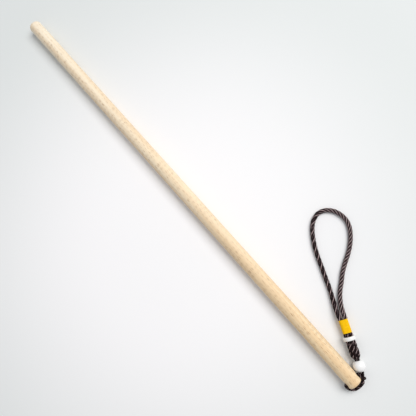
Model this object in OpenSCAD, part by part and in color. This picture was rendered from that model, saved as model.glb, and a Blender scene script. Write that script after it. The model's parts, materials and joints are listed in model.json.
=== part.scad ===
// Wooden stick with a wrist lanyard: a plain round beech stick, and at one end
// a thin cord hitched through a cross hole. The cord carries a round bead, a
// bound bundle of strands, a spacer ring, a thread wrap and a wrist loop of rope.
// The stick lies along X, lanyard end at +X, and rests on the plane z = 0.

/* [Stick] */
// Length of the stick
stick_l = 550; // [300:10:700]
// Diameter of the stick
stick_d = 15; // [12:0.5:20]
// Radius of the rounded edge at both ends
end_r = 2.5; // [1:0.5:4]

/* [Cord hole] */
// Distance from the end face to the middle of the cross hole
hole_inset = 6; // [6:0.5:12]
// Play between the hole and the two cords in it
hole_play = 0.2; // [0.1:0.05:0.5]
// Depth of the bevel at each mouth of the hole
mouth_depth = 1.5; // [0.5:0.25:2]

/* [Tether cord] */
// Diameter of the thin cord that is hitched to the stick
tether_d = 2.4; // [1.6:0.1:2.8]
// Gap between two cords that lie side by side
cord_gap = 0.1; // [0.05:0.05:0.4]
// Least length of cord between the hitch and the bead
leg_l = 6.5; // [6.5:0.5:20]

/* [Bead] */
// Diameter of the round bead
bead_d = 12; // [9:0.5:16]
// Play between the bead's bore and the two cords in it
bead_play = 0.15; // [0.05:0.05:0.5]
// Gap between the bead and the side of the stick
bead_clear = 0.8; // [0.6:0.1:5]
// Gap between the bead and the thread at the neck
neck_gap = 0.4; // [0.2:0.1:2]

/* [Strand bundle] */
// Length of the thread binding at the neck
binding_l = 1.4; // [1:0.1:4]
// Thickness of the thread binding at the neck
binding_t = 0.4; // [0.3:0.1:1]
// Length of the bundle of strands
bundle_l = 17.2; // [12:0.2:30]
// Widest diameter of the bundle
bundle_d = 9.8; // [8.5:0.1:12]
// Distance from the neck to the widest place of the bundle
bundle_belly = 5.5; // [3:0.5:8]

/* [Spacer ring] */
// Outer diameter of the spacer ring
ring_d = 12.6; // [11.5:0.1:18]
// Length of the spacer ring
ring_l = 3.8; // [2:0.2:8]
// Radius of the ring's rounded edges
ring_edge = 0.8; // [0.3:0.1:0.9]
// Play between the ring's bore and the rope in it
ring_play = 0.25; // [0.1:0.05:0.6]
// Gap between the bundle and the ring
ring_gap = 0.2; // [0.1:0.1:1]

/* [Thread wrap] */
// Length of the thread wrap
wrap_l = 13.8; // [8:0.2:25]
// Thickness of the thread
thread_d = 0.5; // [0.3:0.1:1]
// Bare rope between the ring and the wrap
bare_l = 3; // [1:0.5:8]

/* [Wrist rope] */
// Diameter of the wrist rope
rope_d = 4.8; // [3.5:0.1:5.4]
// Share of its diameter that the rope keeps where it is bound
rope_squeeze = 0.875; // [0.8:0.005:0.95]

/* [Lay of the lanyard] */
// Angle between the lanyard and the stick
lanyard_angle = 24.5; // [20:0.5:40]

/* [Hidden] */
$fn = 64;

// cuts run this far past the faces that they open
over = 1;
// sides of the cord tubes
tube_sides = 8;
// share of the bundle's widest radius at its end beside the ring
bundle_top = 0.96;
// steps of the bundle's curved outline on each side of its belly
belly_steps = 8;
// straight cord at an end that meets another piece face to face
lead_l = 0.8;
// where the route of the hitched cord reaches the middle of the hole
route_hole_x = -6;
// the hitch's distance beyond the end face, and outside a cord that lies on the stick
hitch_out = 1.4;
hitch_side = 0.25;
// distance between the middles of the two bound ropes, as a share of their width
bound_share = 0.93;

cord_color = [0.2, 0.13, 0.14];
rope_color = [0.24, 0.16, 0.17];
binding_color = [0.12, 0.08, 0.08];

stick_r = stick_d / 2;
end_x = stick_l / 2;
tether_r = tether_d / 2;
pair_pitch = tether_d + cord_gap;
hole_r = (pair_pitch + tether_d) / 2 + hole_play;
// distance from the stick's axis to a tether cord that lies on the stick
hug_r = stick_r + tether_r + cord_gap / 2;

// the hitch: where the two legs of the tether leave the end of the stick
hitch_x = end_x + hitch_out;
hitch_y = hug_r + hitch_side;
lanyard_z = max(ring_d, bead_d) / 2;
heading = 180 - lanyard_angle;

// places along the lanyard, counted from the hitch
bead_at = max((stick_r + bead_d / 2 + bead_clear - hitch_y) / sin(lanyard_angle),
              leg_l + bead_d / 2);
binding_at = bead_at + bead_d / 2 + neck_gap;
bundle_at = binding_at + binding_l;
ring_at = bundle_at + bundle_l + ring_gap;
wrap_at = ring_at + ring_l + bare_l;
loop_at = wrap_at + wrap_l;

bound_r = rope_d * rope_squeeze / 2;
// the two bound ropes press on each other a little
bound_pitch = 2 * bound_r * bound_share;
bead_bore_r = (pair_pitch + tether_d) / 2 + bead_play;
ring_bore_r = bound_pitch / 2 + bound_r + ring_play;
rope_r = rope_d / 2;
rope_pitch = rope_d + cord_gap;

// Route of the hitched cord: distance beyond the end face, place across the
// stick as a share of hug_r, height above the stick's axis as a share of tether_d.
// It runs round the end, through the hole, over and under both legs, and back.
hitch_route = [
    [-0.1, 0.88, -1], [1, 0.73, -1], [1.8, 0.5, -0.98], [2.1, 0.18, -1],
    [2.05, -0.14, -1.12], [1.65, -0.45, -1.3], [0.6, -0.7, -1.5], [-1.6, -0.88, -1.5],
    [-4, -0.95, -1.2], [-5.6, -0.92, -0.75], [-6, -0.7, -0.52], [-6, 0, -0.52],
    [-6, 0.7, -0.52], [-5.6, 0.92, -0.8], [-4.2, 0.93, -1.45], [-2.4, 0.88, -1.9],
    [-0.6, 1.02, -2.05], [0.5, 1.13, -1.6], [1, 1.19, -0.9], [1, 1.19, -0.1],
    [0.6, 1.14, 0.72], [-0.6, 1.03, 1.18], [-2.2, 0.98, 1.15], [-4, 0.98, 0.9],
    [-5.6, 0.94, 0.6], [-6, 0.7, 0.52], [-6, 0, 0.52], [-6, -0.7, 0.52],
    [-5.4, -0.98, 0.35], [-3, -1.01, -0.2], [-0.6, -0.92, -0.45], [1.8, -0.68, -0.5],
    [3.1, -0.42, -0.28], [3.6, -0.1, -0.06], [3.7, 0.24, 0.04], [3.3, 0.56, 0.1],
    [2.6, 0.79, 0.1], [0, 0.9, 0.05]
];

// Bends of the two legs between the hitch and the bead: distance from the hitch,
// place across the lanyard, and height as a share of the way from the hitched
// cord's height to the lanyard's.
near_bends = [[3, 1.4, 0.15], [5, 1.4, 0.55]];
far_bends = [[3, 0.1, 0.1], [5, -0.8, 0.55]];

// Route of the wrist rope: distance beyond the thread wrap, place across the
// lanyard, and height as a share of the drop from the wrap to the ground.
rope_route = [
    [7, 2.8, 0.7], [14, 2.7, 0.36], [22, 2.2, 0.1], [31, 1.7, 0], [43, 1.9, 0],
    [55, 2, 0], [67, 2.2, 0], [77, 1.7, 0], [86, 0.3, 0], [94, -1.7, 0],
    [100, -4.2, 0], [105, -8, 0], [108.5, -13, 0], [109.5, -19, 0], [108, -25, 0],
    [104.5, -30.5, 0], [99, -35, 0], [92, -37.8, 0], [84, -38, 0], [76, -36, 0],
    [68, -32.6, 0], [60, -27.8, 0], [52, -21.8, 0], [44, -16.4, 0], [35, -11.8, 0],
    [27, -7.6, 0], [20, -4.9, 0.15], [13, -3.2, 0.4], [6, -2.6, 0.74]
];

function unit(v) = v / norm(v);

// a point of the lanyard: distance from the hitch, place across, height
function lanyard_point(along, side, z) = [
    hitch_x + along * cos(heading) - side * sin(heading),
    hitch_y + along * sin(heading) + side * cos(heading),
    z
];

// the stretch in the hole follows the hole, the rest stays beside the end
function hole_shift(x) = x <= route_hole_x ? -hole_inset - route_hole_x : 0;

function hitch_point(p) = [
    end_x + p[0] + hole_shift(p[0]),
    p[1] * hug_r,
    stick_r + p[2] * tether_d
];

function rope_point(p) = lanyard_point(
    loop_at + p[0],
    p[1],
    rope_r + p[2] * (lanyard_z - rope_r)
);

function tangent(path, i) = unit(
    path[min(i + 1, len(path) - 1)] - path[max(i - 1, 0)]
);

// two directions across the path at each point, carried along without twist
function frames(path, i, side) = i == len(path) ? [] :
    let (t = tangent(path, i), s = unit(side - (side * t) * t))
    concat([[s, cross(t, s)]], frames(path, i + 1, s));

module tube(path, diameter) {
    turn = 360 / tube_sides;
    last = len(path) - 1;
    across = frames(path, 0, [0, 0, 1]);
    corners = [
        for (i = [0:last], k = [0:tube_sides - 1])
            path[i] + diameter / 2 * (cos(k * turn) * across[i][0] + sin(k * turn) * across[i][1])
    ];
    walls = [
        for (i = [0:last - 1], k = [0:tube_sides - 1])
            let (n = (k + 1) % tube_sides, a = i * tube_sides, b = a + tube_sides)
            for (f = [[a + k, b + k, b + n], [a + k, b + n, a + n]]) f
    ];
    start_cap = [[for (k = [0:tube_sides - 1]) k]];
    end_cap = [[for (k = [tube_sides - 1:-1:0]) last * tube_sides + k]];
    polyhedron(points = corners, faces = concat(start_cap, walls, end_cap));
}

// children stand on the lanyard's axis, their +Z pointing away from the hitch
module on_lanyard(along) {
    translate([hitch_x, hitch_y, lanyard_z])
        rotate([0, 0, heading])
            translate([along, 0, 0])
                rotate([0, 90, 0])
                    children();
}

// two round bars side by side, filled between, as thread binds two cords
module oval_bar(pitch, radius, length) {
    for (s = [-1, 1])
        translate([0, s * pitch / 2, 0]) cylinder(r = radius, h = length);
    translate([-radius, -pitch / 2, 0]) cube([2 * radius, pitch, length]);
}

module stick_section() {
    translate([0, end_r - end_x]) square([stick_r, stick_l - 2 * end_r]);
    translate([0, -end_x]) square([stick_r - end_r, stick_l]);
    for (s = [-1, 1])
        translate([stick_r - end_r, s * (end_x - end_r)]) circle(r = end_r);
}

module stick() {
    color("burlywood")
        difference() {
            translate([0, 0, stick_r])
                rotate([0, 90, 0])
                    rotate_extrude()
                        stick_section();
            translate([end_x - hole_inset, 0, stick_r])
                rotate([90, 0, 0]) {
                    cylinder(r = hole_r, h = stick_d + 2 * over, center = true);
                    for (s = [0, 180])
                        rotate([s, 0, 0])
                            translate([0, 0, stick_r - mouth_depth])
                                cylinder(
                                    r1 = hole_r,
                                    r2 = hole_r + mouth_depth + over,
                                    h = mouth_depth + over
                                );
                }
        }
}

module hitch_cord() {
    color(cord_color)
        tube([for (p = hitch_route) hitch_point(p)], tether_d);
}

// A leg goes on from one end of the hitched cord, through the bead, to the bundle.
module tether_leg(from, before, bends, side) {
    start = hitch_point(from);
    lead = start + lead_l * unit(start - hitch_point(before));
    rise = lanyard_z - start[2];
    color(cord_color)
        tube(
            concat(
                [start, lead],
                [for (b = bends) lanyard_point(b[0], b[1], start[2] + b[2] * rise)],
                [for (along = [bead_at - bead_d / 2, bead_at, binding_at, bundle_at])
                    lanyard_point(along, side * pair_pitch / 2, lanyard_z)]
            ),
            tether_d
        );
}

module tether_leg_near() {
    tether_leg(hitch_route[0], hitch_route[1], near_bends, 1);
}

module tether_leg_far() {
    last = len(hitch_route) - 1;
    tether_leg(hitch_route[last], hitch_route[last - 1], far_bends, -1);
}

module round_bead() {
    color("white")
        on_lanyard(bead_at)
            difference() {
                sphere(d = bead_d);
                cylinder(r = bead_bore_r, h = bead_d + 2 * over, center = true);
            }
}

module neck_binding() {
    color(binding_color)
        on_lanyard(binding_at)
            difference() {
                oval_bar(pair_pitch, tether_r + cord_gap / 2 + binding_t, binding_l);
                translate([0, 0, -over])
                    oval_bar(pair_pitch, tether_r + cord_gap / 2, binding_l + 2 * over);
            }
}

module strand_bundle() {
    wide = bundle_d / 2;
    neck = pair_pitch / 2 + tether_r + cord_gap;
    top = wide * bundle_top;
    rise = [for (i = [0:belly_steps]) let (a = 90 * i / belly_steps)
        [neck + (wide - neck) * sin(a), bundle_belly * (1 - cos(a))]];
    fall = [for (i = [1:belly_steps]) let (s = i / belly_steps)
        [wide - (wide - top) * s * s, bundle_belly + (bundle_l - bundle_belly) * s]];
    color(rope_color)
        on_lanyard(bundle_at)
            rotate_extrude()
                polygon(concat([[0, 0]], rise, fall, [[0, bundle_l]]));
}

module spacer_ring() {
    outer_r = ring_d / 2;
    color("white")
        on_lanyard(ring_at)
            rotate_extrude() {
                translate([ring_bore_r, 0]) square([outer_r - ring_bore_r - ring_edge, ring_l]);
                translate([ring_bore_r, ring_edge])
                    square([outer_r - ring_bore_r, ring_l - 2 * ring_edge]);
                for (z = [ring_edge, ring_l - ring_edge])
                    translate([outer_r - ring_edge, z]) circle(r = ring_edge);
            }
}

// both legs of the rope, side by side, from the bundle to the end of the wrap
module rope_pair() {
    start = bundle_at + bundle_l;
    color(rope_color)
        on_lanyard(start)
            for (s = [-1, 1])
                translate([0, s * bound_pitch / 2, 0]) cylinder(r = bound_r, h = loop_at - start);
}

module thread_wrap() {
    color("gold")
        on_lanyard(wrap_at)
            difference() {
                oval_bar(bound_pitch, bound_r + thread_d, wrap_l);
                translate([0, 0, -over]) oval_bar(bound_pitch, bound_r, wrap_l + 2 * over);
            }
}

module wrist_rope() {
    out = [for (along = [0, lead_l]) lanyard_point(loop_at + along, rope_pitch / 2, lanyard_z)];
    back = [for (along = [lead_l, 0]) lanyard_point(loop_at + along, -rope_pitch / 2, lanyard_z)];
    color(rope_color)
        tube(concat(out, [for (p = rope_route) rope_point(p)], back), rope_d);
}

stick();
hitch_cord();
tether_leg_near();
tether_leg_far();
round_bead();
neck_binding();
strand_bundle();
spacer_ring();
rope_pair();
thread_wrap();
wrist_rope();
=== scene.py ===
import json
import math

import bmesh
import bpy
from mathutils import Matrix, Vector
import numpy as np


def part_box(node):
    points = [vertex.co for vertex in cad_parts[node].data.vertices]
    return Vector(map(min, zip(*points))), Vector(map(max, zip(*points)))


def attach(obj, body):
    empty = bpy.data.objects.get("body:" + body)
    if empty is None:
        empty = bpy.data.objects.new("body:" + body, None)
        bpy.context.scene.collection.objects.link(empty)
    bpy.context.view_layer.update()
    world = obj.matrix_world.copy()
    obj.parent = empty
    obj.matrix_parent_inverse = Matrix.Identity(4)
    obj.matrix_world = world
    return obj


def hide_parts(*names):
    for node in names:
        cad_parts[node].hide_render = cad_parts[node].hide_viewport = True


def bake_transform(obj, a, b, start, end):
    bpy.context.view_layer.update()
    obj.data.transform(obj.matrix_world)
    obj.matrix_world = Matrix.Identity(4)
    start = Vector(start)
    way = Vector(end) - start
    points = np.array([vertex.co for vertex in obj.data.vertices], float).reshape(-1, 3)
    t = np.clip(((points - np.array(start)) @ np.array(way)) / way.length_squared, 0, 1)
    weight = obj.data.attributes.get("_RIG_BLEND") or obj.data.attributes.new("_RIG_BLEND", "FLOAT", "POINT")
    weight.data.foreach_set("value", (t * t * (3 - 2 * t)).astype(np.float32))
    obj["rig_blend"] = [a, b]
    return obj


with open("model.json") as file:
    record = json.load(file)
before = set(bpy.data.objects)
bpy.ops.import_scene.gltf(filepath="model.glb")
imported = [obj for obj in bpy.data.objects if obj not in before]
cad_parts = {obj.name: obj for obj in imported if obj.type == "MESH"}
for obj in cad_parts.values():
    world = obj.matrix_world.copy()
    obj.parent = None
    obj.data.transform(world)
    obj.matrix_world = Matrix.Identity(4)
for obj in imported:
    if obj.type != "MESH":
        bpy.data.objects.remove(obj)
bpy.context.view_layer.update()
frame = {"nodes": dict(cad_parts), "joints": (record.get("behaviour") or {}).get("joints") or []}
scene = bpy.context.scene
scene.view_settings.view_transform = "Standard"
print("frame loaded,", len(frame["nodes"]), "nodes")

mm = 0.001
fullTurn = 2 * math.pi

# lengths along the lanyard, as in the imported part
lanyardSizes = {
    "bindingLength": 1.4 * mm, "bundleLength": 17.2 * mm, "ringGap": 0.2 * mm,
    "ringLength": 3.8 * mm, "wrapLength": 13.8 * mm,
}

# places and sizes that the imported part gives
joints = {j["name"]: j for j in frame["joints"]}
stickLow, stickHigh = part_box("stick")
stickRadius = (stickHigh.z - stickLow.z) / 2
endX = stickHigh.x
hitch = Vector(joints["tether_swing"]["pos_m"])
outward = Vector(joints["bead_spin"]["axis"]).normalized()    # along the lanyard, away from the stick
across = Vector((-outward.y, outward.x, 0))
beadCentre = Vector(joints["bead_spin"]["pos_m"])
ringCentre = Vector(joints["ring_spin"]["pos_m"])
loopStart = Vector(joints["loop_bend"]["pos_m"])
beadLow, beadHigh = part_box("round_bead")
ringLow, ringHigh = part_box("spacer_ring")
beadRadius = (beadHigh.z - beadLow.z) / 2
ringRadius = (ringHigh.z - ringLow.z) / 2
lanyardZ = hitch.z

# distances along the lanyard from the hitch
beadAt = (beadCentre - hitch).length
ringAt = (ringCentre - hitch).length - lanyardSizes["ringLength"] / 2
bundleAt = ringAt - lanyardSizes["ringGap"] - lanyardSizes["bundleLength"]
bindingAt = bundleAt - lanyardSizes["bindingLength"]
loopAt = (loopStart - hitch).length
wrapAt = loopAt - lanyardSizes["wrapLength"]


def lanyardPoint(along, side, height):
    place = hitch + along * outward + side * across
    return Vector((place.x, place.y, height))


def onLanyard(along):
    # local Z runs out along the lanyard, local Y goes across it, local X points down
    turn = Matrix((Vector((0, 0, -1)), across, outward)).transposed().to_4x4()
    return Matrix.Translation(lanyardPoint(along, 0, lanyardZ)) @ turn


# the camera is above the lanyard half of the stick, and looks down and a little towards the far end
viewSetup = {
    "eye": (0.1439, 0.0147, 0.4481),
    "right": (0.65438, 0.74007, -0.15519),
    "down": (0.72499, -0.67235, -0.14944),
    "lens": 36.0, "sensor": 36.0, "nearClip": 0.01,
}


def makeCamera(setup):
    data = bpy.data.cameras.new("camera")
    data.lens = setup["lens"]
    data.sensor_width = setup["sensor"]
    data.clip_start = setup["nearClip"]
    camera = bpy.data.objects.new("camera", data)
    scene.collection.objects.link(camera)
    right = Vector(setup["right"]).normalized()
    up = -Vector(setup["down"])
    up = (up - up.dot(right) * right).normalized()
    turn = Matrix((right, up, right.cross(up))).transposed().to_4x4()
    camera.matrix_world = Matrix.Translation(Vector(setup["eye"])) @ turn
    scene.camera = camera


makeCamera(viewSetup)
print("camera set")


def put(tree, kind, inputs=None, **settings):
    # adds a node, with its settings and with values or links for its inputs
    node = tree.nodes.new(kind)
    for name, value in settings.items():
        setattr(node, name, value)
    for name, value in (inputs or {}).items():
        feed(tree, value, node.inputs[name])
    return node


def feed(tree, value, socket):
    if isinstance(value, bpy.types.NodeSocket):
        tree.links.new(value, socket)
    else:
        socket.default_value = value


def maths(tree, operation, a, b=0.0, c=0.0):
    node = tree.nodes.new("ShaderNodeMath")
    node.operation = operation
    for value, socket in zip((a, b, c), node.inputs):
        feed(tree, value, socket)
    return node.outputs[0]


def vectorMaths(tree, operation, a, b=None, scale=None):
    node = tree.nodes.new("ShaderNodeVectorMath")
    node.operation = operation
    feed(tree, a, node.inputs[0])
    if b is not None:
        feed(tree, b, node.inputs[1])
    if scale is not None:
        feed(tree, scale, node.inputs["Scale"])
    return node.outputs[0]


def blendColours(tree, share, a, b):
    # in a colour mix, sockets 6 and 7 are the two colours and output 2 is the result
    node = put(tree, "ShaderNodeMix", data_type="RGBA")
    feed(tree, share, node.inputs["Factor"])
    feed(tree, a, node.inputs[6])
    feed(tree, b, node.inputs[7])
    return node.outputs[2]


def spread(tree, value, fromLow, fromHigh, toLow, toHigh):
    node = put(tree, "ShaderNodeMapRange", {
        "Value": value, "From Min": fromLow, "From Max": fromHigh, "To Min": toLow, "To Max": toHigh})
    return node.outputs[0]


def noise(tree, place, scale=1.0, detail=2.0):
    # scale may be one number, or one for each direction
    if isinstance(scale, tuple):
        place, scale = vectorMaths(tree, "MULTIPLY", place, scale), 1.0
    return put(tree, "ShaderNodeTexNoise", {"Vector": place, "Scale": scale, "Detail": detail})


def addInputs(tree, wanted):
    for name, kind, value in wanted:
        socket = tree.interface.new_socket(name=name, in_out="INPUT", socket_type="NodeSocket" + kind)
        if value is not None:
            socket.default_value = value


def addOutputs(tree, wanted):
    for name, kind in wanted:
        tree.interface.new_socket(name=name, in_out="OUTPUT", socket_type="NodeSocket" + kind)


def socketName(key):
    # layLength becomes Lay Length
    return "".join(" " + c if c.isupper() and i else c for i, c in enumerate(key[0].upper() + key[1:]))


def useGroup(tree, group, **inputs):
    node = tree.nodes.new("ShaderNodeGroup")
    node.node_tree = group
    for key, value in inputs.items():
        feed(tree, value, node.inputs[socketName(key)])
    return node.outputs


fibreGrain = {
    "grainScale": (420.0, 2600.0, 2600.0), "fleckScale": (300.0, 1500.0, 1500.0),
    "fleckLimit": 0.72, "fleckSoftness": 0.06, "grainRelief": 0.45, "ridgeRelief": 0.55,
}


def makeTwistedFibre(grainLook):
    # fibres that wind round a yarn, from the place on the yarn that the cord trees store
    tree = bpy.data.node_groups.new("twistedFibre", "ShaderNodeTree")
    addInputs(tree, [
        ("Place", "Vector", None), ("Fibres", "Float", 8.0), ("Twist Length", "Float", 0.004),
        ("Deep Color", "Color", (0.02, 0.01, 0.01, 1)), ("Top Color", "Color", (0.08, 0.05, 0.05, 1)),
        ("Fleck Color", "Color", (0.6, 0.5, 0.5, 1)), ("Fleck Share", "Float", 0.1)])
    addOutputs(tree, [("Color", "Color"), ("Height", "Float"), ("Roughness", "Float")])
    given = put(tree, "NodeGroupInput").outputs
    place = put(tree, "ShaderNodeSeparateXYZ", {0: given["Place"]}).outputs
    angle = maths(tree, "ARCTAN2", place["Z"], place["Y"])
    travel = maths(tree, "MULTIPLY", maths(tree, "DIVIDE", place["X"], given["Twist Length"]), fullTurn)
    ridge = maths(tree, "SINE", maths(tree, "MULTIPLY", maths(tree, "ADD", angle, travel), given["Fibres"]))
    ridge = maths(tree, "MULTIPLY_ADD", ridge, 0.5, 0.5)
    grain = noise(tree, given["Place"], grainLook["grainScale"], 3.0).outputs[0]
    fleck = noise(tree, given["Place"], grainLook["fleckScale"], 1.0).outputs[0]
    lowered = maths(tree, "MULTIPLY", given["Fleck Share"], 0.5)
    limit = maths(tree, "SUBTRACT", grainLook["fleckLimit"], lowered)
    beyond = maths(tree, "SUBTRACT", fleck, limit)
    fleckMask = spread(tree, beyond, 0.0, grainLook["fleckSoftness"], 0.0, 1.0)
    # painted shade: the ridge pattern darkens the grooves between the fibres towards the deep colour, mixed
    # with random grain tone
    paintedShadeAndGrain = maths(tree, "MULTIPLY", ridge, grain)
    body = blendColours(tree, paintedShadeAndGrain, given["Deep Color"], given["Top Color"])
    colour = blendColours(tree, fleckMask, body, given["Fleck Color"])
    ridgeHeight = maths(tree, "MULTIPLY", ridge, grainLook["ridgeRelief"])
    height = maths(tree, "MULTIPLY_ADD", grain, grainLook["grainRelief"], ridgeHeight)
    roughness = spread(tree, grain, 0.3, 0.7, 0.5, 0.8)
    put(tree, "NodeGroupOutput", {"Color": colour, "Height": height, "Roughness": roughness})
    return tree


marksLook = {
    "stretch": (0.12, 1.0, 1.0), "patchFrom": 0.35, "patchTo": 0.7, "scratchFrom": 0.55, "scratchTo": 0.75,
}


def makeHandlingMarks(look):
    # faint rubbed patches and fine scratches from being handled
    tree = bpy.data.node_groups.new("handlingMarks", "ShaderNodeTree")
    addInputs(tree, [
        ("Place", "Vector", None), ("Patch Size", "Float", 0.01), ("Scratch Size", "Float", 0.001)])
    addOutputs(tree, [("Patch", "Float"), ("Scratch", "Float")])
    given = put(tree, "NodeGroupInput").outputs
    patchScale = maths(tree, "DIVIDE", 1.0, given["Patch Size"])
    patch = noise(tree, vectorMaths(tree, "SCALE", given["Place"], scale=patchScale), detail=4.0).outputs[0]
    scratchScale = maths(tree, "DIVIDE", 1.0, given["Scratch Size"])
    scratchPlace = vectorMaths(tree, "SCALE", given["Place"], scale=scratchScale)
    scratch = noise(tree, scratchPlace, look["stretch"]).outputs[0]
    put(tree, "NodeGroupOutput", {
        "Patch": spread(tree, patch, look["patchFrom"], look["patchTo"], 0.0, 1.0),
        "Scratch": spread(tree, scratch, look["scratchFrom"], look["scratchTo"], 0.0, 1.0)})
    return tree


twistedFibre = makeTwistedFibre(fibreGrain)
handlingMarks = makeHandlingMarks(marksLook)


def startMaterial(name, constants):
    # constants go straight onto the shader's own sockets
    material = bpy.data.materials.new(name)
    material.use_nodes = True
    tree = material.node_tree
    shader = next(n for n in tree.nodes if n.type == "BSDF_PRINCIPLED")
    for key, value in constants.items():
        shader.inputs[key].default_value = value
    return material, tree, shader


def addBump(tree, shader, height, distance):
    bump = put(tree, "ShaderNodeBump", {"Height": height, "Distance": distance})
    feed(tree, bump.outputs[0], shader.inputs["Normal"])


# scales are per metre, the first along the stick and the others across it
beechLook = {
    "farPale": (0.95, 0.86, 0.70, 1), "farWarm": (0.86, 0.70, 0.50, 1),
    "nearPale": (0.94, 0.75, 0.49, 1), "nearWarm": (0.79, 0.54, 0.285, 1),
    "fleck": (0.40, 0.235, 0.12, 1), "rubbed": (0.62, 0.44, 0.28, 1),
    "bandScale": (5.0, 190.0, 190.0), "bandShare": 0.6,
    "streakScale": (24.0, 1100.0, 1100.0), "streakShare": 0.4,
    "warpScale": 60.0, "warpBy": 0.0012, "fleckScale": (170.0, 2300.0, 2300.0), "fleckCore": 0.26,
    "fleckEdge": 0.46, "fleckShare": 0.95, "crowdScale": (16.0, 130.0, 130.0), "crowdLeast": 0.25,
    "rubbedShare": 0.10, "roughness": 0.58, "specular": 0.35, "relief": 0.00006,
}


def makeBeech(look):
    material, tree, shader = startMaterial("palebeech", {"Specular IOR Level": look["specular"]})
    place = put(tree, "ShaderNodeTexCoord").outputs["Object"]
    x = put(tree, "ShaderNodeSeparateXYZ", {0: place}).outputs["X"]
    # the wood is paler and cooler at the far end
    near = spread(tree, x, stickLow.x, stickHigh.x, 0.0, 1.0)
    band = noise(tree, place, look["bandScale"], 4.0).outputs[0]
    band = spread(tree, band, 0.40, 0.60, 0.0, 1.0)
    streak = noise(tree, place, look["streakScale"], 3.0).outputs[0]
    pale = blendColours(tree, near, look["farPale"], look["nearPale"])
    warm = blendColours(tree, near, look["farWarm"], look["nearWarm"])
    streakPart = maths(tree, "MULTIPLY", streak, look["streakShare"])
    wood = blendColours(tree, maths(tree, "MULTIPLY_ADD", band, look["bandShare"], streakPart), pale, warm)
    # beech's short dark ray flecks along the grain, cut in the round as the dowel cuts them
    warp = put(tree, "ShaderNodeTexNoise", {"Vector": place, "Scale": look["warpScale"]}).outputs[1]
    fleckPlace = vectorMaths(tree, "ADD", place, vectorMaths(tree, "SCALE", warp, scale=look["warpBy"]))
    fleckPlace = vectorMaths(tree, "MULTIPLY", fleckPlace, look["fleckScale"])
    cells = put(tree, "ShaderNodeTexVoronoi", {"Vector": fleckPlace, "Scale": 1.0, "Randomness": 1.0})
    fleck = spread(tree, cells.outputs["Distance"], look["fleckCore"], look["fleckEdge"], 1.0, 0.0)
    cellPick = put(tree, "ShaderNodeSeparateColor", {0: cells.outputs["Color"]}).outputs[0]
    fleck = maths(tree, "MULTIPLY", fleck, spread(tree, cellPick, 0.35, 0.8, 0.0, 1.0))
    # the flecks crowd together in some places and are nearly absent in others
    crowd = noise(tree, place, look["crowdScale"]).outputs[0]
    fleck = maths(tree, "MULTIPLY", fleck, spread(tree, crowd, 0.36, 0.54, look["crowdLeast"], 1.0))
    colour = blendColours(tree, maths(tree, "MULTIPLY", fleck, look["fleckShare"]), wood, look["fleck"])
    marks = useGroup(tree, handlingMarks, place=place, patchSize=0.03, scratchSize=0.0008)
    rubbed = maths(tree, "MULTIPLY", marks["Patch"], look["rubbedShare"])
    feed(tree, blendColours(tree, rubbed, colour, look["rubbed"]), shader.inputs["Base Color"])
    rough = maths(tree, "MULTIPLY_ADD", marks["Patch"], -0.10, look["roughness"])
    feed(tree, maths(tree, "MULTIPLY_ADD", fleck, 0.12, rough), shader.inputs["Roughness"])
    height = maths(tree, "MULTIPLY_ADD", fleck, -0.8, maths(tree, "MULTIPLY", streak, 0.6))
    height = maths(tree, "MULTIPLY_ADD", marks["Scratch"], -0.2, height)
    addBump(tree, shader, height, look["relief"])
    return material


# deep is the painted shade between the fibres, top the colour on them
yarnLooks = {
    "darkyarn": {
        "deep": (0.004, 0.0015, 0.002, 1), "top": (0.034, 0.012, 0.015, 1),
        "fleck": (0.42, 0.32, 0.33, 1), "fleckShare": 0.04, "fibres": 7.0, "twist": 0.0042,
        "relief": 0.00012, "sheen": 0.0, "specular": 0.15},
    "traceryarn": {
        "deep": (0.40, 0.28, 0.28, 1), "top": (0.88, 0.74, 0.74, 1),
        "fleck": (0.10, 0.05, 0.06, 1), "fleckShare": 0.14, "fibres": 5.0, "twist": 0.0026,
        "relief": 0.00008, "sheen": 0.1, "specular": 0.3},
    "yellowthread": {
        "deep": (0.92, 0.52, 0.0, 1), "top": (1.0, 0.72, 0.0, 1),
        "fleck": (1.0, 0.82, 0.03, 1), "fleckShare": 0.10, "fibres": 4.0, "twist": 0.0016,
        "relief": 0.00005, "sheen": 0.0, "specular": 0.2},
    "bindingthread": {
        "deep": (0.008, 0.005, 0.005, 1), "top": (0.05, 0.03, 0.03, 1),
        "fleck": (0.2, 0.15, 0.15, 1), "fleckShare": 0.05, "fibres": 4.0, "twist": 0.0014,
        "relief": 0.00005, "sheen": 0.0, "specular": 0.4},
}


def makeYarn(name):
    look = yarnLooks[name]
    material, tree, shader = startMaterial(
        name, {"Sheen Weight": look["sheen"], "Specular IOR Level": look["specular"]})
    place = put(tree, "ShaderNodeAttribute", attribute_name="yarnPlace").outputs["Vector"]
    fibre = useGroup(tree, twistedFibre, place=place, fibres=look["fibres"], twistLength=look["twist"],
                     deepColor=look["deep"], topColor=look["top"], fleckColor=look["fleck"],
                     fleckShare=look["fleckShare"])
    feed(tree, fibre["Color"], shader.inputs["Base Color"])
    feed(tree, fibre["Roughness"], shader.inputs["Roughness"])
    addBump(tree, shader, fibre["Height"], look["relief"])
    return material


whiteLooks = {
    "beadwhite": {"tint": (0.93, 0.93, 0.93, 1), "grey": (0.86, 0.87, 0.88, 1), "patchSize": 0.005},
    "ringwhite": {"tint": (0.90, 0.90, 0.895, 1), "grey": (0.80, 0.80, 0.79, 1), "patchSize": 0.004},
}
whiteGloss = {
    "specular": 0.55, "coat": 0.35, "coatRoughness": 0.08, "roughness": 0.16, "relief": 0.00002,
    "cloudScale": 220.0, "cloudShare": 0.35, "scratch": (0.6, 0.59, 0.57, 1), "scratchShare": 0.12,
}


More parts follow.
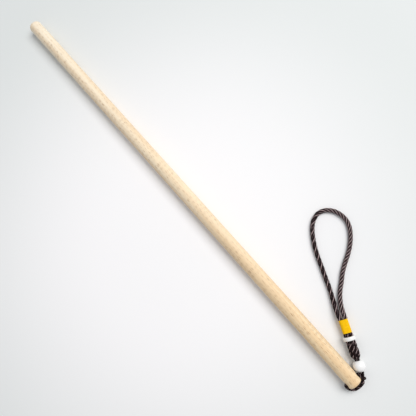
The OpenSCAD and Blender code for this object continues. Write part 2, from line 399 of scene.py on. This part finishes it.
def makeGlossyWhite(name, gloss):
    look = whiteLooks[name]
    material, tree, shader = startMaterial(name, {
        "Specular IOR Level": gloss["specular"], "Coat Weight": gloss["coat"],
        "Coat Roughness": gloss["coatRoughness"]})
    place = put(tree, "ShaderNodeTexCoord").outputs["Object"]
    marks = useGroup(tree, handlingMarks, place=place, patchSize=look["patchSize"], scratchSize=0.0005)
    cloud = noise(tree, place, gloss["cloudScale"]).outputs[0]
    cloudPart = maths(tree, "MULTIPLY", cloud, gloss["cloudShare"])
    colour = blendColours(tree, cloudPart, look["tint"], look["grey"])
    scratchPart = maths(tree, "MULTIPLY", marks["Scratch"], gloss["scratchShare"])
    feed(tree, blendColours(tree, scratchPart, colour, gloss["scratch"]), shader.inputs["Base Color"])
    rough = maths(tree, "MULTIPLY_ADD", marks["Patch"], 0.10, gloss["roughness"])
    feed(tree, maths(tree, "MULTIPLY_ADD", marks["Scratch"], 0.15, rough), shader.inputs["Roughness"])
    addBump(tree, shader, maths(tree, "MULTIPLY_ADD", marks["Scratch"], -0.5, cloud), gloss["relief"])
    return material


paleBeech = makeBeech(beechLook)
darkYarn = makeYarn("darkyarn")
tracerYarn = makeYarn("traceryarn")
yellowThread = makeYarn("yellowthread")
bindingThread = makeYarn("bindingthread")
beadWhite = makeGlossyWhite("beadwhite", whiteGloss)
ringWhite = makeGlossyWhite("ringwhite", whiteGloss)
print("materials made")


def smoothPath(points, step=0.4 * mm):
    # an even curve through the points, and how far along it each of them comes
    gaps = [(b - a).length for a, b in zip(points, points[1:])]
    slopes = []
    for i in range(len(points)):
        if i == 0:
            slopes.append((points[1] - points[0]) / gaps[0])
        elif i == len(points) - 1:
            slopes.append((points[-1] - points[-2]) / gaps[-1])
        else:
            before, after = gaps[i - 1], gaps[i]
            slopes.append(((points[i] - points[i - 1]) / before * after
                           + (points[i + 1] - points[i]) / after * before) / (before + after))
    line, marks, total = [points[0]], [0.0], 0.0
    for i, gap in enumerate(gaps):
        count = max(2, round(gap / step))
        for k in range(1, count + 1):
            t = k / count
            place = ((2 * t**3 - 3 * t**2 + 1) * points[i] + (t**3 - 2 * t**2 + t) * gap * slopes[i]
                     + (3 * t**2 - 2 * t**3) * points[i + 1] + (t**3 - t**2) * gap * slopes[i + 1])
            total += (place - line[-1]).length
            line.append(place)
        marks.append(total)
    return line, marks


def curveThrough(name, lines, widths=None):
    data = bpy.data.curves.new(name, "CURVE")
    data.dimensions = "3D"
    for n, line in enumerate(lines):
        spline = data.splines.new("POLY")
        spline.points.add(len(line) - 1)
        for i, place in enumerate(line):
            spline.points[i].co = (*place, 1)
            spline.points[i].radius = widths[n][i] if widths else 1.0
    piece = bpy.data.objects.new(name, data)
    scene.collection.objects.link(piece)
    return piece


def storePlace(tree, geometry, name, kind, value):
    node = put(tree, "GeometryNodeStoreNamedAttribute", {"Geometry": geometry, "Name": name},
               data_type=kind, domain="POINT")
    feed(tree, value, node.inputs["Value"])
    return node.outputs[0]


def readPlace(tree, name, kind):
    return put(tree, "GeometryNodeInputNamedAttribute", {"Name": name}, data_type=kind).outputs[0]


def sweepYarn(tree, line, diameter, sides, material, width=None):
    # a round yarn along each line, with its place along and round it kept for the fibres
    circle = put(tree, "GeometryNodeCurvePrimitiveCircle", {
        "Resolution": sides, "Radius": maths(tree, "MULTIPLY", diameter, 0.5)}).outputs[0]
    here = put(tree, "GeometryNodeInputPosition").outputs[0]
    section = storePlace(tree, circle, "crossPlace", "FLOAT_VECTOR", here)
    sweep = put(tree, "GeometryNodeCurveToMesh", {
        "Curve": line, "Profile Curve": section, "Fill Caps": True})
    if width is not None:
        feed(tree, width, sweep.inputs["Scale"])
    crossPlace = readPlace(tree, "crossPlace", "FLOAT_VECTOR")
    cross = put(tree, "ShaderNodeSeparateXYZ", {0: crossPlace}).outputs
    place = put(tree, "ShaderNodeCombineXYZ", {
        "X": readPlace(tree, "alongCord", "FLOAT"), "Y": cross["X"], "Z": cross["Y"]}).outputs[0]
    mesh = storePlace(tree, sweep.outputs[0], "yarnPlace", "FLOAT_VECTOR", place)
    mesh = put(tree, "GeometryNodeSetShadeSmooth", {"Geometry": mesh}).outputs[0]
    return put(tree, "GeometryNodeSetMaterial", {"Geometry": mesh, "Material": material}).outputs[0]


# a buried tracer comes up from this far before its place to this far after it (fade)
laidCordSizes = {"tracerSides": 6, "fade": 4 * mm}


def makeLaidCordTree(sizes):
    # strands and thin tracer yarns, laid round the line of a cord
    tree = bpy.data.node_groups.new("laidCord", "GeometryNodeTree")
    addInputs(tree, [
        ("Geometry", "Geometry", None), ("Strands", "Int", 4), ("Strand Diameter", "Float", 0.002),
        ("Strand Centre", "Float", 0.001), ("Lay Length", "Float", 0.012), ("Step", "Float", 0.0006),
        ("Sides", "Int", 10), ("Tracers", "Int", 2), ("Tracer Diameter", "Float", 0.0006),
        ("Tracer Centre", "Float", 0.002), ("Tracer Turn", "Float", 0.125),
        ("Turn Step", "Float", 0.0), ("Buried Until", "Float", 0.0), ("Buried By", "Float", 0.0006),
        ("Strand Finish", "Material", None), ("Tracer Finish", "Material", None)])
    addOutputs(tree, [("Geometry", "Geometry")])
    given = put(tree, "NodeGroupInput").outputs
    even = put(tree, "GeometryNodeResampleCurve", {
        "Curve": given["Geometry"], "Length": given["Step"]}, mode="LENGTH")
    run = put(tree, "GeometryNodeSplineParameter").outputs["Length"]
    line = storePlace(tree, even.outputs[0], "alongCord", "FLOAT", run)
    along = readPlace(tree, "alongCord", "FLOAT")
    # cords that lie together are turned out of step with each other
    which = put(tree, "GeometryNodeCurveOfPoint").outputs["Curve Index"]
    line = storePlace(tree, line, "startTurn", "FLOAT", maths(tree, "MULTIPLY", which, given["Turn Step"]))
    width = put(tree, "GeometryNodeInputRadius").outputs[0]
    normal = put(tree, "GeometryNodeInputNormal").outputs[0]
    tangent = put(tree, "GeometryNodeInputTangent").outputs[0]
    side = vectorMaths(tree, "CROSS_PRODUCT", tangent, normal)
    startTurn = readPlace(tree, "startTurn", "FLOAT")
    turns = maths(tree, "ADD", maths(tree, "DIVIDE", along, given["Lay Length"]), startTurn)

    def layRound(count, centre, turn):
        copies = put(tree, "GeometryNodeDuplicateElements", {
            "Geometry": line, "Amount": count}, domain="SPLINE")
        index = copies.outputs["Duplicate Index"]
        share = maths(tree, "ADD", maths(tree, "DIVIDE", index, count), turn)
        angle = maths(tree, "MULTIPLY", maths(tree, "ADD", turns, share), fullTurn)
        reach = maths(tree, "MULTIPLY", centre(index), width)
        outBy = maths(tree, "MULTIPLY", maths(tree, "COSINE", angle), reach)
        sideBy = maths(tree, "MULTIPLY", maths(tree, "SINE", angle), reach)
        outPart = vectorMaths(tree, "SCALE", normal, scale=outBy)
        offset = vectorMaths(tree, "ADD", outPart, vectorMaths(tree, "SCALE", side, scale=sideBy))
        moved = put(tree, "GeometryNodeSetPosition", {"Geometry": copies.outputs[0], "Offset": offset})
        return moved.outputs[0]

    def tracerCentre(index):
        # every second tracer stays under the strands until this far along
        odd = maths(tree, "MODULO", index, 2.0)
        beyond = maths(tree, "SUBTRACT", along, given["Buried Until"])
        hidden = spread(tree, beyond, -sizes["fade"], sizes["fade"], 1.0, 0.0)
        depth = maths(tree, "MULTIPLY", maths(tree, "MULTIPLY", odd, hidden), given["Buried By"])
        return maths(tree, "SUBTRACT", given["Tracer Centre"], depth)

    strandLines = layRound(given["Strands"], lambda index: given["Strand Centre"], 0.0)
    tracerLines = layRound(given["Tracers"], tracerCentre, given["Tracer Turn"])
    strands = sweepYarn(
        tree, strandLines, given["Strand Diameter"], given["Sides"], given["Strand Finish"], width)
    tracers = sweepYarn(
        tree, tracerLines, given["Tracer Diameter"], sizes["tracerSides"], given["Tracer Finish"], width)
    join = put(tree, "GeometryNodeJoinGeometry")
    tree.links.new(strands, join.inputs[0])
    tree.links.new(tracers, join.inputs[0])
    whole = put(tree, "GeometryNodeRealizeInstances", {"Geometry": join.outputs[0]}).outputs[0]
    put(tree, "NodeGroupOutput", {"Geometry": whole})
    return tree


# overlap makes the thread a little wider than its spacing, so that the turns close up
threadSizes = {"sides": 8, "overlap": 1.12, "wobble": 60.0}


def makeThreadTurnsTree(sizes):
    # one thread wound tightly round two cords that lie side by side
    tree = bpy.data.node_groups.new("threadTurns", "GeometryNodeTree")
    addInputs(tree, [
        ("Geometry", "Geometry", None), ("Length", "Float", 0.01), ("Thread Diameter", "Float", 0.0005),
        ("Half Pitch", "Float", 0.002), ("Inner Radius", "Float", 0.002), ("Points A Turn", "Int", 40),
        ("Looseness", "Float", 0.00003), ("Finish", "Material", None)])
    addOutputs(tree, [("Geometry", "Geometry")])
    given = put(tree, "NodeGroupInput").outputs
    thickness = given["Thread Diameter"]
    turns = maths(tree, "DIVIDE", given["Length"], thickness)
    start = put(tree, "GeometryNodeCurvePrimitiveLine", {"Start": (0, 0, 0), "End": (0, 0, 1)}).outputs[0]
    even = put(tree, "GeometryNodeResampleCurve", {
        "Curve": start, "Count": maths(tree, "MULTIPLY", turns, given["Points A Turn"])}, mode="COUNT")
    run = put(tree, "GeometryNodeSplineParameter").outputs["Factor"]
    angle = maths(tree, "MULTIPLY", maths(tree, "MULTIPLY", run, turns), fullTurn)
    cosine, sine = maths(tree, "COSINE", angle), maths(tree, "SINE", angle)
    wobble = put(tree, "ShaderNodeTexNoise", {
        "W": maths(tree, "MULTIPLY", run, sizes["wobble"])}, noise_dimensions="1D").outputs[0]
    slack = maths(tree, "MULTIPLY", maths(tree, "SUBTRACT", wobble, 0.5), given["Looseness"])
    tightReach = maths(tree, "MULTIPLY_ADD", thickness, 0.5, given["Inner Radius"])
    reach = maths(tree, "ADD", tightReach, slack)
    shift = maths(tree, "MULTIPLY", maths(tree, "SIGN", cosine), given["Half Pitch"])
    wide = maths(tree, "MULTIPLY_ADD", cosine, reach, shift)
    climb = maths(tree, "SUBTRACT", given["Length"], thickness)
    rise = maths(tree, "MULTIPLY_ADD", run, climb, maths(tree, "MULTIPLY", thickness, 0.5))
    place = put(tree, "ShaderNodeCombineXYZ", {
        "X": maths(tree, "MULTIPLY", sine, reach), "Y": wide, "Z": rise}).outputs[0]
    line = put(tree, "GeometryNodeSetPosition", {"Geometry": even.outputs[0], "Position": place}).outputs[0]
    threadRun = put(tree, "GeometryNodeSplineParameter").outputs["Length"]
    line = storePlace(tree, line, "alongCord", "FLOAT", threadRun)
    thick = maths(tree, "MULTIPLY", thickness, sizes["overlap"])
    thread = sweepYarn(tree, line, thick, sizes["sides"], given["Finish"])
    whole = put(tree, "GeometryNodeRealizeInstances", {"Geometry": thread}).outputs[0]
    put(tree, "NodeGroupOutput", {"Geometry": whole})
    return tree


laidCord = makeLaidCordTree(laidCordSizes)
threadTurns = makeThreadTurnsTree(threadSizes)


def grow(piece, tree, name, **inputs):
    # runs a geometry tree on the piece and keeps the result as a plain mesh
    modifier = piece.modifiers.new("grow", "NODES")
    modifier.node_group = tree
    sockets = {s.name: s.identifier for s in tree.interface.items_tree if s.in_out == "INPUT"}
    for key, value in inputs.items():
        modifier[sockets[socketName(key)]] = value
    bpy.context.view_layer.update()
    seen = piece.evaluated_get(bpy.context.evaluated_depsgraph_get())
    mesh = bpy.data.meshes.new_from_object(seen)
    grown = bpy.data.objects.new(name, mesh)
    scene.collection.objects.link(grown)
    bpy.data.objects.remove(piece)
    return grown


def turned(name, outline, segments, place, finish):
    # turns a closed outline of (radius, height) pairs; a radius of 0 closes to one point
    form = bmesh.new()
    rings = []
    for radius, height in outline:
        if radius < 1e-7:
            rings.append([form.verts.new((0, 0, height))])
        else:
            rings.append([form.verts.new((radius * math.cos(a), radius * math.sin(a), height))
                          for a in (fullTurn * k / segments for k in range(segments))])
    for a, b in zip(rings, rings[1:] + rings[:1]):
        if len(a) == 1 and len(b) == 1:
            continue
        for k in range(segments):
            n = (k + 1) % segments
            corners = [a[k % len(a)], a[n % len(a)], b[n % len(b)], b[k % len(b)]]
            form.faces.new(list(dict.fromkeys(corners)))
    bmesh.ops.recalc_face_normals(form, faces=form.faces)
    form.transform(place)
    mesh = bpy.data.meshes.new(name)
    form.to_mesh(mesh)
    form.free()
    for face in mesh.polygons:
        face.use_smooth = True
    mesh.materials.append(finish)
    piece = bpy.data.objects.new(name, mesh)
    scene.collection.objects.link(piece)
    return piece


def roundedOutline(corners, steps=6):
    # each corner is (radius, height, rounding)
    outline = []
    for i, (r, h, rounding) in enumerate(corners):
        here = Vector((r, h))
        back = Vector(corners[i - 1][:2]) - here
        on = Vector(corners[(i + 1) % len(corners)][:2]) - here
        a, b = here + back.normalized() * rounding, here + on.normalized() * rounding
        for k in range(steps + 1):
            t = k / steps
            p = (1 - t) ** 2 * a + 2 * t * (1 - t) * here + t * t * b
            outline.append((p.x, p.y))
    return outline


print("trees made")

# laid holds the inputs of the laid cord tree
wristRope = {
    "diameter": 4.8 * mm, "pitch": 4.9 * mm, "lead": 0.8 * mm,
    "laid": {
        "strands": 4, "strandDiameter": 2.2 * mm, "strandCentre": 1.3 * mm, "layLength": 18.0 * mm,
        "tracers": 4, "tracerDiameter": 0.66 * mm, "tracerCentre": 1.95 * mm,
        "buriedUntil": 118 * mm, "buriedBy": 0.55 * mm, "step": 0.55 * mm},
}

# distance beyond the wrap, place across the lanyard, share of the drop to the ground
ropeRoute = [
    (7, 2.8, 0.7), (14, 2.7, 0.36), (22, 2.2, 0.1), (31, 1.7, 0), (43, 1.9, 0),
    (55, 2, 0), (67, 2.2, 0), (77, 1.7, 0), (86, 0.3, 0), (94, -1.7, 0),
    (100, -4.2, 0), (105, -8, 0), (108.5, -13, 0), (109.5, -19, 0), (108, -25, 0),
    (104.5, -30.5, 0), (99, -35, 0), (92, -37.8, 0), (84, -38, 0), (76, -36, 0),
    (68, -32.6, 0), (60, -27.8, 0), (52, -21.8, 0), (44, -16.4, 0), (35, -11.8, 0),
    (27, -7.6, 0), (20, -4.9, 0.15), (13, -3.2, 0.4), (6, -2.6, 0.74),
]


def makeWristRope(rope):
    radius = rope["diameter"] / 2
    side = rope["pitch"] / 2
    points = [lanyardPoint(loopAt + a, side, lanyardZ) for a in (0, rope["lead"])]
    for a, s, drop in ropeRoute:
        points.append(lanyardPoint(loopAt + a * mm, s * mm, radius + drop * (lanyardZ - radius)))
    points += [lanyardPoint(loopAt + a, -side, lanyardZ) for a in (rope["lead"], 0)]
    line, marks = smoothPath(points)
    piece = grow(curveThrough("wristRopeLine", [line]), laidCord, "wristRope",
                 strandFinish=darkYarn, tracerFinish=tracerYarn, **rope["laid"])
    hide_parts("wrist_rope")
    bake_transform(piece, "lanyard", "loop", start=loopStart, end=loopStart + 22 * mm * outward)
    print("wrist rope,", round(marks[-1] / mm), "mm long")


makeWristRope(wristRope)

# the legs have finished lifting at this share of the bead's radius before its middle (liftShare)
tether = {
    "diameter": 2.4 * mm, "gap": 0.1 * mm, "lead": 0.8 * mm, "handOver": 3.2 * mm, "tail": 1.0 * mm,
    "pathStep": 0.25 * mm, "overrun": 1.0 * mm, "liftShare": 0.6,
    "laid": {
        "strands": 3, "strandDiameter": 1.36 * mm, "strandCentre": 0.58 * mm, "layLength": 6.0 * mm,
        "tracers": 1, "tracerDiameter": 0.24 * mm, "tracerCentre": 0.98 * mm,
        "buriedUntil": 0.0, "buriedBy": 0.0, "step": 0.35 * mm, "sides": 9},
}

# distance beyond the end face, share of the way out to the cord across the stick,
# height above the stick's middle as a share of the cord's thickness
hitchRoute = [
    (-0.1, 0.88, -1), (1, 0.73, -1), (1.8, 0.5, -0.98), (2.1, 0.18, -1),
    (2.05, -0.14, -1.12), (1.65, -0.45, -1.3), (0.6, -0.7, -1.5), (-1.6, -0.88, -1.5),
    (-4, -0.95, -1.2), (-5.6, -0.92, -0.75), (-6, -0.7, -0.52), (-6, 0, -0.52),
    (-6, 0.7, -0.52), (-5.6, 0.92, -0.8), (-4.2, 0.93, -1.45), (-2.4, 0.88, -1.9),
    (-0.6, 1.02, -2.05), (0.5, 1.13, -1.6), (1, 1.19, -0.9), (1, 1.19, -0.1),
    (0.6, 1.14, 0.72), (-0.6, 1.03, 1.18), (-2.2, 0.98, 1.15), (-4, 0.98, 0.9),
    (-5.6, 0.94, 0.6), (-6, 0.7, 0.52), (-6, 0, 0.52), (-6, -0.7, 0.52),
    (-5.4, -0.98, 0.35), (-3, -1.01, -0.2), (-0.6, -0.92, -0.45), (1.8, -0.68, -0.5),
    (3.1, -0.42, -0.28), (3.6, -0.1, -0.06), (3.7, 0.24, 0.04), (3.3, 0.56, 0.1),
    (2.6, 0.79, 0.1), (0, 0.9, 0.05),
]

# distance from the hitch, place across the lanyard, share of the rise to the lanyard's height
nearBends = [(3, 1.4, 0.15), (5, 1.4, 0.55)]
farBends = [(3, 0.1, 0.1), (5, -0.8, 0.55)]


def cutPiece(whole, name, low, high):
    # the stretch of a cord between two distances along it, with its ends closed
    form = bmesh.new()
    form.from_mesh(whole.data)
    run = form.verts.layers.float["alongCord"]
    away = [f for f in form.faces if not low < sum(v[run] for v in f.verts) / len(f.verts) < high]
    bmesh.ops.delete(form, geom=away, context="FACES")
    edges = [e for e in form.edges if e.is_boundary]
    made = bmesh.ops.holes_fill(form, edges=edges, sides=20)["faces"]
    for face in made:
        face.smooth = False
    mesh = bpy.data.meshes.new(name)
    form.to_mesh(mesh)
    form.free()
    for finish in whole.data.materials:
        mesh.materials.append(finish)
    piece = bpy.data.objects.new(name, mesh)
    scene.collection.objects.link(piece)
    return piece


def makeTether(cord):
    hugRadius = stickRadius + cord["diameter"] / 2 + cord["gap"] / 2
    apart = (cord["diameter"] + cord["gap"]) / 2
    hitched = [Vector((endX + x * mm, y * hugRadius, stickRadius + z * cord["diameter"]))
               for x, y, z in hitchRoute]

    def legPoints(start, before, bends, side):
        points = [start + cord["lead"] * (start - before).normalized()]
        points += [lanyardPoint(a * mm, s * mm, start.z + up * (lanyardZ - start.z)) for a, s, up in bends]
        stops = (beadAt - beadRadius, beadAt, bindingAt, bundleAt + cord["tail"])
        return points + [lanyardPoint(a, side * apart, lanyardZ) for a in stops]

    nearLeg = legPoints(hitched[0], hitched[1], nearBends, 1)
    farLeg = legPoints(hitched[-1], hitched[-2], farBends, -1)
    points = nearLeg[::-1] + hitched + farLeg
    line, marks = smoothPath(points, cord["pathStep"])
    first, last = marks[len(nearLeg)], marks[len(nearLeg) + len(hitched) - 1]
    whole = grow(curveThrough("tetherLine", [line]), laidCord, "tetherWhole",
                 strandFinish=darkYarn, tracerFinish=tracerYarn, **cord["laid"])
    nearHand, farHand = first - cord["handOver"], last + cord["handOver"]

    def placeAt(run):
        travelled = 0.0
        for a, b in zip(line, line[1:]):
            travelled += (b - a).length
            if travelled >= run:
                return b
        return line[-1]

    hitchCord = cutPiece(whole, "hitchCord", first, last)
    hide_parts("hitch_cord")
    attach(hitchCord, "stick")
    hitchLine, hitchMarks = smoothPath(hitched, cord["pathStep"])
    # each leg bends at the hitch in its first stretch, and lifts with the bead in its second
    cuts = [
        ("nearLeg", "tether_leg_near", first, nearHand, 0.0),
        ("farLeg", "tether_leg_far", last, farHand, marks[-1])]
    for name, node, root, hand, tip in cuts:
        low = cutPiece(whole, name + "Root", min(root, hand), max(root, hand))
        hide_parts(node)
        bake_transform(low, "stick", "tether", start=placeAt(root), end=placeAt(hand))
        high = cutPiece(
            whole, name + "Tip", min(hand, tip) - cord["overrun"], max(hand, tip) + cord["overrun"])
        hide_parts(node)
        start = placeAt(hand)
        reach = (lanyardPoint(beadAt - cord["liftShare"] * beadRadius, 0, lanyardZ) - start).dot(outward)
        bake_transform(high, "tether", "lanyard", start=start, end=start + reach * outward)
    bpy.data.objects.remove(whole)
    print("tether cord,", round(marks[-1] / mm), "mm long")


makeTether(tether)

bead = {
    "bore": 2.6 * mm, "mouth": 0.35 * mm, "mouthDepth": 0.9, "innerShare": 0.4,
    "segments": 96, "arcSteps": 40, "mouthSteps": 6,
}


def makeBead(sizes):
    bore, mouth = sizes["bore"], sizes["mouth"]
    opening = math.asin((bore + mouth) / beadRadius)
    outline = []
    for k in range(sizes["arcSteps"] + 1):
        a = opening + (math.pi - 2 * opening) * k / sizes["arcSteps"]
        outline.append((beadRadius * math.sin(a), beadRadius * math.cos(a)))
    top = beadRadius * math.cos(opening)
    lip = []
    for k in range(1, sizes["mouthSteps"] + 1):
        t = math.pi / 2 * k / sizes["mouthSteps"]
        drop = mouth * (1 - math.cos(t)) * sizes["mouthDepth"]
        lip.append((bore + mouth * (1 - math.sin(t)), top - drop))
    inner = top * sizes["innerShare"]
    outline += [(r, -h) for r, h in lip]
    outline += [(bore, h) for h in (-inner, 0.0, inner)]
    outline += list(reversed(lip))
    piece = turned("roundBead", outline, sizes["segments"], onLanyard(beadAt), beadWhite)
    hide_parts("round_bead")
    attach(piece, "bead")


makeBead(bead)
print("bead made")

# edge and innerEdge round its corners, and crown is how much its outside swells
ring = {
    "bore": 4.3 * mm, "length": lanyardSizes["ringLength"], "edge": 0.85 * mm, "innerEdge": 0.35 * mm,
    "crown": 0.12 * mm, "crownEdge": 0.6 * mm, "segments": 96,
}


def makeRing(sizes):
    bore, length, outer = sizes["bore"], sizes["length"], ringRadius
    corners = [
        (bore, 0, sizes["innerEdge"]), (outer - sizes["crown"], 0, sizes["edge"]),
        (outer, length / 2, sizes["crownEdge"]),
        (outer - sizes["crown"], length, sizes["edge"]), (bore, length, sizes["innerEdge"])]
    piece = turned("spacerRing", roundedOutline(corners), sizes["segments"], onLanyard(ringAt), ringWhite)
    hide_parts("spacer_ring")
    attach(piece, "ring")


makeRing(ring)
print("ring made")

# belly is how far along the bundle is widest, and top its width at the ring as a share of that
bundle = {
    "length": lanyardSizes["bundleLength"], "neck": 2.75 * mm, "wide": 5.0 * mm, "belly": 5.0 * mm,
    "top": 0.96, "yarns": 9, "yarnDiameter": 3.0 * mm, "twist": 0.08, "steps": 44,
    "coreShare": 0.72, "coreInset": 0.2 * mm, "coreSteps": 16, "coreSegments": 32,
    "laid": {
        "strands": 2, "strandDiameter": 1.75 * mm, "strandCentre": 0.62 * mm, "layLength": 10.0 * mm,
        "tracers": 1, "tracerDiameter": 0.5 * mm, "tracerCentre": 1.32 * mm, "tracerTurn": 0.25,
        "turnStep": 0.37, "buriedUntil": 0.0, "buriedBy": 0.0, "step": 0.45 * mm, "sides": 9},
}


def bundleRadius(sizes, along):
    if along < sizes["belly"]:
        a = math.acos(1 - along / sizes["belly"])
        return sizes["neck"] + (sizes["wide"] - sizes["neck"]) * math.sin(a)
    s = (along - sizes["belly"]) / (sizes["length"] - sizes["belly"])
    return sizes["wide"] * (1 - (1 - sizes["top"]) * s * s)


def keepYarnPlace(piece, place):
    # gives a turned piece the same along-and-round places as a swept yarn has
    back = place.inverted()
    attribute = piece.data.attributes.new("yarnPlace", "FLOAT_VECTOR", "POINT")
    for vertex, item in zip(piece.data.vertices, attribute.data):
        local = back @ vertex.co
        item.vector = (local.z, local.x, local.y)


def makeBundle(sizes):
    place = onLanyard(bundleAt)
    lines, widths = [], []
    for k in range(sizes["yarns"]):
        line, width = [], []
        for i in range(sizes["steps"] + 1):
            along = sizes["length"] * i / sizes["steps"]
            outer = bundleRadius(sizes, along)
            share = outer / sizes["wide"]
            thick = sizes["yarnDiameter"] * share
            a = fullTurn * (k / sizes["yarns"] + sizes["twist"] * i / sizes["steps"])
            reach = outer - thick / 2
            line.append(place @ Vector((reach * math.cos(a), reach * math.sin(a), along)))
            width.append(share)
        lines.append(line)
        widths.append(width)
    yarns = grow(curveThrough("bundleLines", lines, widths), laidCord, "strandBundle",
                 strandFinish=darkYarn, tracerFinish=tracerYarn, **sizes["laid"])
    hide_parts("strand_bundle")
    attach(yarns, "lanyard")
    # the filling that the yarns lie on
    inset = sizes["coreInset"]
    outline = [(0.0, inset)]
    for i in range(sizes["coreSteps"] + 1):
        along = sizes["length"] * i / sizes["coreSteps"]
        outline.append((bundleRadius(sizes, along) * sizes["coreShare"], max(inset, along - inset)))
    outline.append((0.0, sizes["length"] - inset))
    core = turned("bundleCore", outline, sizes["coreSegments"], place, bindingThread)
    keepYarnPlace(core, place)
    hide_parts("strand_bundle")
    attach(core, "lanyard")


makeBundle(bundle)
print("bundle made")

neckBinding = {
    "length": lanyardSizes["bindingLength"], "thread": 0.4 * mm, "halfPitch": 1.25 * mm,
    "inner": 1.25 * mm, "looseness": 0.02 * mm,
}
threadWrap = {
    "length": lanyardSizes["wrapLength"], "thread": 0.46 * mm, "halfPitch": 1.953 * mm,
    "inner": 2.1 * mm, "looseness": 0.05 * mm,
}


def makeTurns(name, sizes, along, node, finish):
    blank = bpy.data.objects.new(name + "Blank", bpy.data.meshes.new(name + "Blank"))
    scene.collection.objects.link(blank)
    piece = grow(blank, threadTurns, name, length=sizes["length"], threadDiameter=sizes["thread"],
                 halfPitch=sizes["halfPitch"], innerRadius=sizes["inner"],
                 looseness=sizes["looseness"], finish=finish)
    piece.data.transform(onLanyard(along))
    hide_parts(node)
    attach(piece, "lanyard")


makeTurns("neckBinding", neckBinding, bindingAt, "neck_binding", bindingThread)
makeTurns("threadWrap", threadWrap, wrapAt, "thread_wrap", yellowThread)

# the bound stretch of the wrist rope: squeezed in the wrap, wider where nothing holds it
ropePair = {"pitch": 3.906 * mm, "squeeze": 0.875, "swell": 0.2, "pathStep": 0.5 * mm}


def makeRopePair(sizes, rope):
    start = bundleAt + bundle["length"]
    bareFrom = ringAt + ring["length"]
    count = round((loopAt - start) / sizes["pathStep"])
    lines, widths = [], []
    for side in (1, -1):
        line, width = [], []
        for i in range(count + 1):
            along = start + (loopAt - start) * i / count
            # the rope swells between the ring and the wrap
            bare = min(1, max(0, (along - bareFrom) / (wrapAt - bareFrom)))
            swell = 1 + sizes["swell"] * math.sin(math.pi * bare)
            line.append(lanyardPoint(along, side * sizes["pitch"] / 2 * swell, lanyardZ))
            width.append(sizes["squeeze"] * swell)
        lines.append(line)
        widths.append(width)
    piece = grow(curveThrough("ropePairLines", lines, widths), laidCord, "ropePair",
                 strandFinish=darkYarn, tracerFinish=tracerYarn, **rope["laid"])
    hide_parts("rope_pair")
    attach(piece, "lanyard")


makeRopePair(ropePair, wristRope)
print("lanyard made")

for slotItem in frame["nodes"]["stick"].material_slots:
    slotItem.material = paleBeech
print("stick finished")

# the floor's colour holds a painted pool of light round the middle and painted shade towards the rim; the
# two distances from the middle bound the fade between them; sink keeps the floor just below the stick
floorLook = {
    "size": 4.0, "color": (0.945, 0.94, 0.955, 1), "paintedShade": (0.73, 0.76, 0.76, 1),
    "middle": (0.05, -0.05, 0), "paintedLightTo": 0.09, "paintedShadeFrom": 0.37, "cloud": 0.03, "cloudScale": 3.0,
    "roughness": 0.85, "specular": 0.2, "sink": 0.05 * mm,
}
lightLook = {
    "key": {"place": (0.16, 1.25, 1.8), "size": 1.4, "power": 38.0, "color": (1.0, 0.985, 0.965)},
    "fill": {"place": (-0.5, -0.35, 1.3), "size": 1.5, "power": 2.0, "color": (0.97, 0.985, 1.0)},
    "sky": {"color": (0.97, 0.98, 1.0, 1), "strength": 0.40},
}


def makeFloor(look):
    material, tree, shader = startMaterial("floorpaper", {
        "Roughness": look["roughness"], "Specular IOR Level": look["specular"]})
    place = put(tree, "ShaderNodeTexCoord").outputs["Object"]
    # painted light: palest under the middle of the stick, with painted shade towards the rim, and a faint
    # cloud in it
    measure = put(tree, "ShaderNodeVectorMath", {0: place, 1: look["middle"]}, operation="DISTANCE")
    cloud = noise(tree, place, look["cloudScale"]).outputs[0]
    away = maths(tree, "MULTIPLY_ADD", cloud, look["cloud"], measure.outputs["Value"])
    share = put(tree, "ShaderNodeMapRange", {
        "Value": away, "From Min": look["paintedLightTo"], "From Max": look["paintedShadeFrom"]},
        interpolation_type="SMOOTHSTEP").outputs[0]
    feed(tree, blendColours(tree, share, look["color"], look["paintedShade"]), shader.inputs["Base Color"])
    half = look["size"] / 2
    corners = [(-half, -half, 0), (half, -half, 0), (half, half, 0), (-half, half, 0)]
    mesh = bpy.data.meshes.new("floor")
    mesh.from_pydata(corners, [], [(0, 1, 2, 3)])
    mesh.materials.append(material)
    floor = bpy.data.objects.new("floor", mesh)
    floor.location.z = -look["sink"]
    scene.collection.objects.link(floor)


def makeLights(look):
    for name in ("key", "fill"):
        wanted = look[name]
        data = bpy.data.lights.new(name, "AREA")
        data.size, data.energy, data.color = wanted["size"], wanted["power"], wanted["color"]
        light = bpy.data.objects.new(name, data)
        place = Vector(wanted["place"])
        light.location = place
        light.rotation_mode = "QUATERNION"
        light.rotation_quaternion = (-place).to_track_quat("-Z", "Y")
        scene.collection.objects.link(light)
    world = bpy.data.worlds.new("studio")
    world.use_nodes = True
    back = world.node_tree.nodes["Background"]
    back.inputs["Color"].default_value = look["sky"]["color"]
    back.inputs["Strength"].default_value = look["sky"]["strength"]
    scene.world = world


makeFloor(floorLook)
makeLights(lightLook)
print("floor and lights set")
